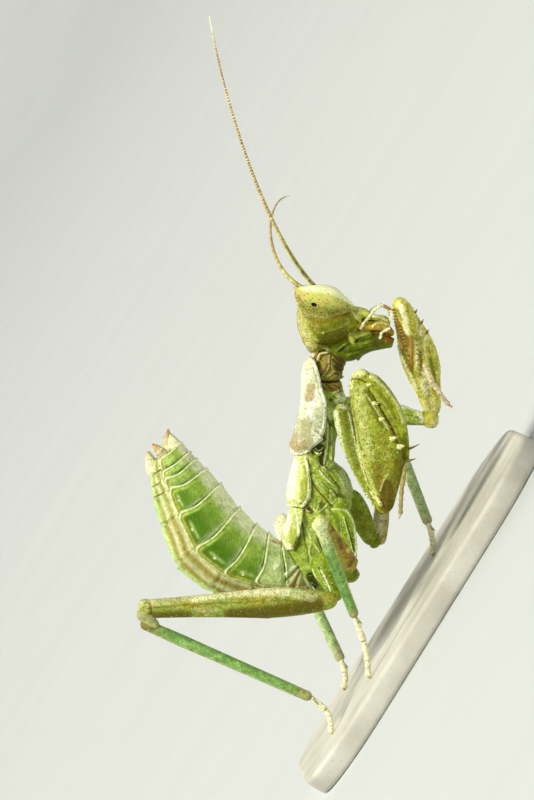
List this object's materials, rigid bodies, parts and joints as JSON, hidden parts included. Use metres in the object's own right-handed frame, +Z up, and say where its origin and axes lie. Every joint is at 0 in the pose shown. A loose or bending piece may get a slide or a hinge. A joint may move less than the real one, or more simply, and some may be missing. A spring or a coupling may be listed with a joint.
{
  "type": "dwarf praying mantis nymph, still model",
  "caption": "Young dwarf mantis standing on a thin flat base, head raised, abdomen curled up over its back, one grasping foreleg folded and the other lifted to its mouth.",
  "frame": {"origin": "middle of the display base's underside", "axes": "+X the way the head faces, +Y the animal's left, +Z up from the base"},
  "size_m": [0.0249, 0.0179, 0.0211],
  "materials": {
    "eye": "smooth faceted cornea, pale green with brown flecks",
    "face": "satin cuticle with fine flecks",
    "mouthparts": "satin cuticle",
    "palps": "satin cuticle, banded",
    "antennae": "ringed, satin",
    "neck_membrane": "soft folded membrane",
    "thorax_shield": "grained cuticle with pale margins",
    "thorax": "grained cuticle with pale granules",
    "wing_pads": "grained cuticle with pale margins",
    "abdomen": "satin cuticle with pale ring edges",
    "tail_tip": "satin cuticle",
    "forelegs": "satin cuticle, flecked, with dark-tipped spines",
    "thighs": "satin cuticle, pale above, flecked line",
    "shins": "satin cuticle with pale edges",
    "feet": "satin cuticle",
    "base": "satin, plain"
  },
  "bodies": {
    "root": {"abdomen_1": "abdomen", "abdomen_2": "abdomen", "abdomen_3": "abdomen", "abdomen_4": "abdomen", "abdomen_5": "abdomen", "abdomen_6": "abdomen", "abdomen_7": "abdomen", "abdomen_8": "abdomen", "abdomen_9": "abdomen", "anal_plate": "tail_tip", "antenna_left": "antennae", "antenna_right": "antennae", "cercus_left": "tail_tip", "cercus_right": "tail_tip", "eye_left": "eye", "eye_right": "eye", "fore_coxa_left": "forelegs", "fore_coxa_right": "forelegs", "fore_femur_left": "forelegs", "fore_femur_right": "forelegs", "fore_tarsus_left": "feet", "fore_tarsus_right": "feet", "fore_tibia_left": "forelegs", "fore_tibia_right": "forelegs", "head_capsule": "face", "hind_left_coxa": "thorax", "hind_left_femur": "thighs", "hind_left_tarsus": "feet", "hind_left_tibia": "shins", "hind_right_coxa": "thorax", "hind_right_femur": "thighs", "hind_right_tarsus": "feet", "hind_right_tibia": "shins", "keel_plate": "tail_tip", "labrum": "face", "lower_jaws": "mouthparts", "mandibles": "mouthparts", "mesothorax": "thorax", "metathorax": "thorax", "middle_left_coxa": "thorax", "middle_left_femur": "thighs", "middle_left_tarsus": "feet", "middle_left_tibia": "shins", "middle_right_coxa": "thorax", "middle_right_femur": "thighs", "middle_right_tarsus": "feet", "middle_right_tibia": "shins", "neck": "neck_membrane", "palp_left": "palps", "palp_right": "palps", "pronotum": "thorax_shield", "prothorax": "thorax", "stand_base": "base", "wing_pads_front": "wing_pads", "wing_pads_hind": "wing_pads"}
  },
  "joints": []
}
